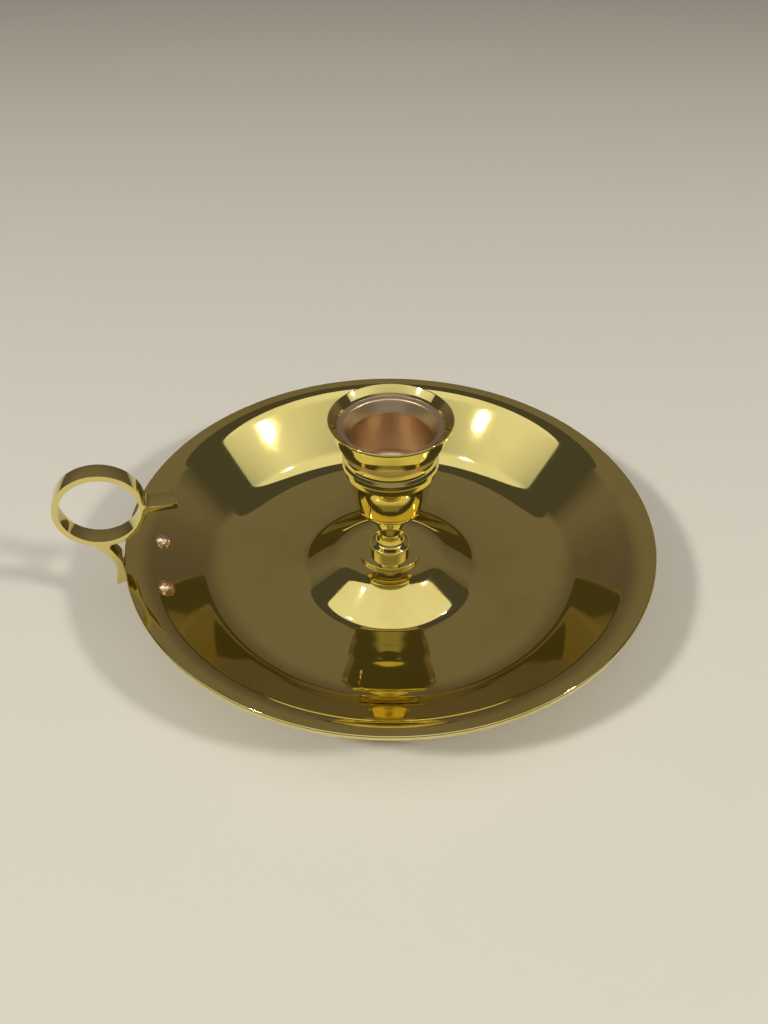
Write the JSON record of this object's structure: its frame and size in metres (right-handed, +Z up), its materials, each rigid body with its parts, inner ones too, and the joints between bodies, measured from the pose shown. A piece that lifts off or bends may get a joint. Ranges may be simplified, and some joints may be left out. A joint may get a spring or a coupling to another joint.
{
  "type": "chamberstick with finger loop",
  "caption": "Round dished brass candle holder with a turned socket on a central dome and a riveted ring handle with a thumb tab.",
  "frame": {"origin": "middle of the footprint box of the whole object, on the plane that it stands on; the dish's axis is 7.15 mm towards +X", "axes": "+Z up, along the dish's and the candle's axis; -X towards the finger loop"},
  "size_m": [0.1662, 0.152, 0.0559],
  "materials": {
    "brass": "polished",
    "copper": "hammered copper"
  },
  "bodies": {
    "root": {"drip_pan": "brass", "candle_socket": "brass", "socket_washer": "brass", "socket_screw": "brass", "finger_loop": "brass", "front_rivet": "copper", "rear_rivet": "copper"}
  },
  "joints": []
}
